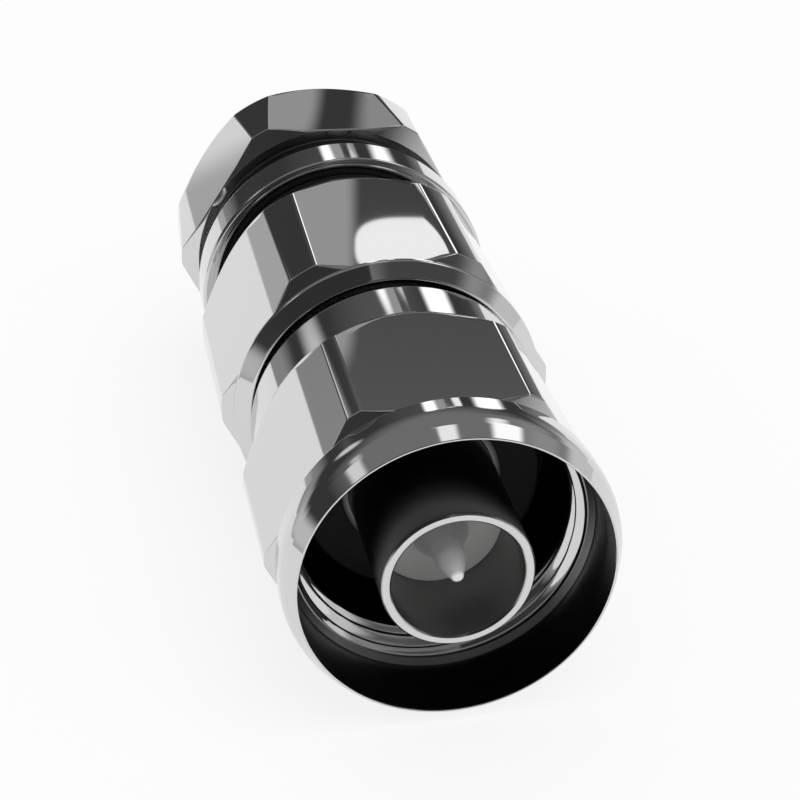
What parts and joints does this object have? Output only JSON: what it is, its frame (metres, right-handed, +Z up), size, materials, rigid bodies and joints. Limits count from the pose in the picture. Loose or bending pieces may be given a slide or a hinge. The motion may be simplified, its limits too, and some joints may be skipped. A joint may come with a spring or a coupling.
{
  "type": "n type connector",
  "caption": "Straight cable-mount coaxial plug with a hexagonal screw coupling nut, a hexagonal body and a threaded cable clamp nut.",
  "frame": {"origin": "centre of the mating plane, at the front rim of the coupling nut and contact sleeve", "axes": "+Y along the plug's axis from the mating end to the cable end, +Z up and square to an upper wrench flat, +X to the right seen from the mating end"},
  "size_m": [0.0196, 0.0452, 0.018],
  "materials": {
    "nickel_plate": "polished nickel plate on brass",
    "pin_plate": "plain satin plate on the centre contact",
    "spring_bronze": "bare spring bronze",
    "bare_brass": "turned brass",
    "insulator": "waxy white fluoropolymer",
    "black_rubber": "smooth black rubber"
  },
  "bodies": {
    "body": {"plug_body": "nickel_plate", "front_insulator": "insulator", "rear_insulator": "insulator", "centre_contact": "pin_plate", "face_seal": "black_rubber", "retaining_ring": "spring_bronze", "braid_clamp": "bare_brass", "cable_gasket": "black_rubber", "thrust_washer": "bare_brass"},
    "coupling_nut": {"coupling_nut": "nickel_plate"},
    "sealing_ring": {"sealing_ring": "black_rubber"},
    "clamp_nut": {"clamp_nut": "nickel_plate"}
  },
  "joints": [
    {"name": "coupling_nut_spin", "type": "hinge", "parent": "body", "child": "coupling_nut", "pos_m": [0, 0.009, 0], "axis": [0, 1, 0], "continuous": true},
    {"name": "sealing_ring_travel", "type": "slide", "parent": "body", "child": "sealing_ring", "axis": [0, 1, 0], "range_m": [0, 0.004]},
    {"name": "clamp_nut_turn", "type": "hinge", "parent": "sealing_ring", "child": "clamp_nut", "pos_m": [0, 0.035, 0], "axis": [0, 1, 0], "range_deg": [0, 1440]}
  ],
  "couplings": [
    {"joint": "sealing_ring_travel", "follows": "clamp_nut_turn", "m_per_rad": 0.00015915}
  ]
}
